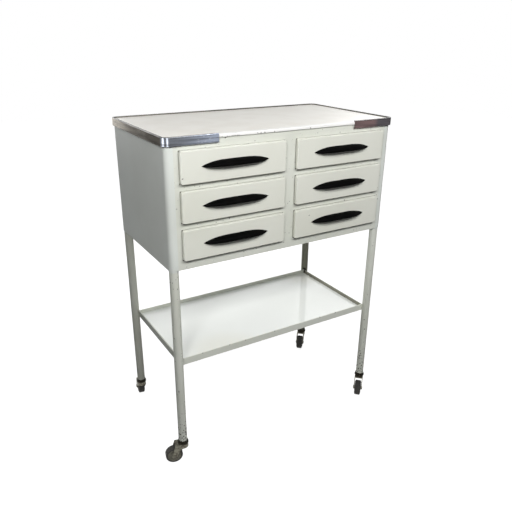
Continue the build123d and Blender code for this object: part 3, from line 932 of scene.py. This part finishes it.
@dataclass
class Studio:
    """Pale floor, white surroundings, soft lamps and the photograph's camera."""

    camera_place: Point = (-0.8086, -1.3492, 1.1660)
    yaw: float = 31.17  # degrees
    pitch: float = 22.56
    roll: float = 0.48
    focal_px: float = 537.2
    centre_px: tuple[float, float] = (254.5, 258.0)
    sensor: float = 36.0  # millimetres, as Blender counts them
    floor_half: float = 7.0
    floor_drop: float = 0.5 * MM
    floor_fade: Span = (0.9, 2.6)  # how far out the floor turns white
    floor_glow: float = 0.93
    floor_shade: Colour = (0.3, 0.3, 0.3)
    floor_bounce: Colour = (0.16, 0.16, 0.16)
    ambient: Colour = (0.03, 0.033, 0.036)
    lamps: tuple[Lamp, ...] = (
        Lamp("key_lamp", (0.0, -1.38, 1.75), 21.5, 1.6, 0.5),
        Lamp("left_lamp", (-1.0, -1.1, 1.5), 8.0, 0.3, 0.3),
        Lamp("rear_lamp", (-0.5, 2.0, 1.5), 9.5, 1.6, 0.8),
        Lamp("shelf_lamp", (-0.2, 1.6, 0.78), 7.5, 1.2, 0.3, SHELF_MIDDLE),
        Lamp("back_lamp", (2.2, 1.5, 2.4), 28.0, 1.0, 1.0),
        Lamp("left_glint", (-1.82, -0.42, 0.66), 14.0, 0.7, 0.9, FRONT_LEFT_TRIM, True),
        Lamp("front_glint", (-1.10, -2.25, 0.54), 14.0, 0.8, 0.9, FRONT_LEFT_TRIM, True),
    )

    def build(self) -> None:
        """Set the whole stage and the colour management."""
        bpy.context.scene.view_settings.view_transform = "Standard"
        self._world()
        self._floor()
        self._camera()
        for lamp in self.lamps:
            lamp.make()

    @staticmethod
    def _seen(tree: bpy.types.NodeTree) -> Socket:
        """Mark the rays that show the surroundings.

        Args:
            tree: The node tree of the world or of the floor's material.

        Returns:
            1 for camera, glossy and transmission rays, and 0 for those that only light.
        """
        path = add_node(tree, "ShaderNodeLightPath")
        seen = path.outputs["Is Camera Ray"]
        for other in ("Is Glossy Ray", "Is Transmission Ray"):
            either = add_node(tree, "ShaderNodeMath", operation="MAXIMUM")
            tree.links.new(seen, either.inputs[0])
            tree.links.new(path.outputs[other], either.inputs[1])
            seen = either.outputs[0]
        return seen

    def _world(self) -> None:
        """Make the surroundings white where they are seen, and a dim grey where they light."""
        world = bpy.data.worlds.new("surroundings")
        world.use_nodes = True
        bpy.context.scene.world = world
        tree = world.node_tree
        shade = add_node(tree, "ShaderNodeMix", data_type="RGBA")
        tree.links.new(self._seen(tree), shade.inputs[MIX_SHARE])
        shade.inputs[MIX_FIRST].default_value = (*self.ambient, 1.0)
        shade.inputs[MIX_SECOND].default_value = (*WHITE, 1.0)
        tree.links.new(shade.outputs[MIX_RESULT], tree.nodes["Background"].inputs["Color"])

    def _floor_glow(self, tree: bpy.types.NodeTree) -> Socket:
        """Add the floor's own paleness, which turns white further out.

        Args:
            tree: The node tree of the floor's material.

        Returns:
            The glow's shader.
        """
        place = add_node(tree, "ShaderNodeTexCoord")
        reach = add_node(tree, "ShaderNodeVectorMath", operation="LENGTH")
        tree.links.new(place.outputs["Object"], reach.inputs[0])
        fade = add_node(tree, "ShaderNodeMapRange")
        tree.links.new(reach.outputs["Value"], fade.inputs[0])
        for index, value in enumerate((*self.floor_fade, self.floor_glow, 1.0), 1):
            fade.inputs[index].default_value = value
        glow = add_node(tree, "ShaderNodeEmission")
        tree.links.new(fade.outputs[0], glow.inputs["Strength"])
        return glow.outputs[0]

    def _floor_material(self) -> bpy.types.Material:
        """Return a material that looks pale with a faint shadow, and lights the part little."""
        material = bpy.data.materials.new("pale_floor")
        material.use_nodes = True
        tree = material.node_tree
        tree.nodes.clear()
        shaded = add_node(tree, "ShaderNodeBsdfDiffuse")
        shaded.inputs["Color"].default_value = (*self.floor_shade, 1.0)
        bounce = add_node(tree, "ShaderNodeBsdfDiffuse")
        bounce.inputs["Color"].default_value = (*self.floor_bounce, 1.0)
        both = add_node(tree, "ShaderNodeAddShader")
        tree.links.new(self._floor_glow(tree), both.inputs[0])
        tree.links.new(shaded.outputs[0], both.inputs[1])
        pick = add_node(tree, "ShaderNodeMixShader")
        tree.links.new(self._seen(tree), pick.inputs[0])
        tree.links.new(bounce.outputs[0], pick.inputs[1])
        tree.links.new(both.outputs[0], pick.inputs[2])
        output = add_node(tree, "ShaderNodeOutputMaterial")
        tree.links.new(pick.outputs[0], output.inputs["Surface"])
        return material

    def _floor(self) -> None:
        """Lay a pale floor that runs into the white surroundings."""
        half = self.floor_half
        corners = [(-half, -half, 0.0), (half, -half, 0.0), (half, half, 0.0), (-half, half, 0.0)]
        mesh = bpy.data.meshes.new("floor")
        mesh.from_pydata(corners, [], [(0, 1, 2, 3)])
        mesh.materials.append(self._floor_material())
        floor = bpy.data.objects.new("floor", mesh)
        floor.location.z = -self.floor_drop
        bpy.context.scene.collection.objects.link(floor)

    def _camera(self) -> None:
        """Put the camera where the photograph was taken from."""
        yaw, pitch, roll = (math.radians(angle) for angle in (self.yaw, self.pitch, self.roll))
        ahead = math.cos(pitch)
        forward = Vector((math.sin(yaw) * ahead, math.cos(yaw) * ahead, -math.sin(pitch)))
        level = Vector((math.cos(yaw), -math.sin(yaw), 0.0))
        upright = level.cross(forward)
        right = math.cos(roll) * level + math.sin(roll) * upright
        above = math.cos(roll) * upright - math.sin(roll) * level
        data = bpy.data.cameras.new("camera")
        data.sensor_width = self.sensor
        data.lens = self.focal_px / IMAGE_PX * self.sensor
        data.shift_x = (IMAGE_PX / 2 - self.centre_px[0]) / IMAGE_PX
        data.shift_y = (self.centre_px[1] - IMAGE_PX / 2) / IMAGE_PX
        camera = bpy.data.objects.new("camera", data)
        turn = Matrix((right, above, -forward)).transposed().to_4x4()
        camera.matrix_world = Matrix.Translation(self.camera_place) @ turn
        bpy.context.scene.collection.objects.link(camera)
        bpy.context.scene.camera = camera


def main() -> None:
    """Dress the cabinet piece by piece and set the studio."""
    logging.basicConfig(level=logging.INFO, format="%(name)s: %(message)s")
    for part in (Casing(), WorkTop(), Stand(), DrawerBank(), CasterSet()):
        part.dress()
    Studio().build()


if __name__ == "__main__":
    main()
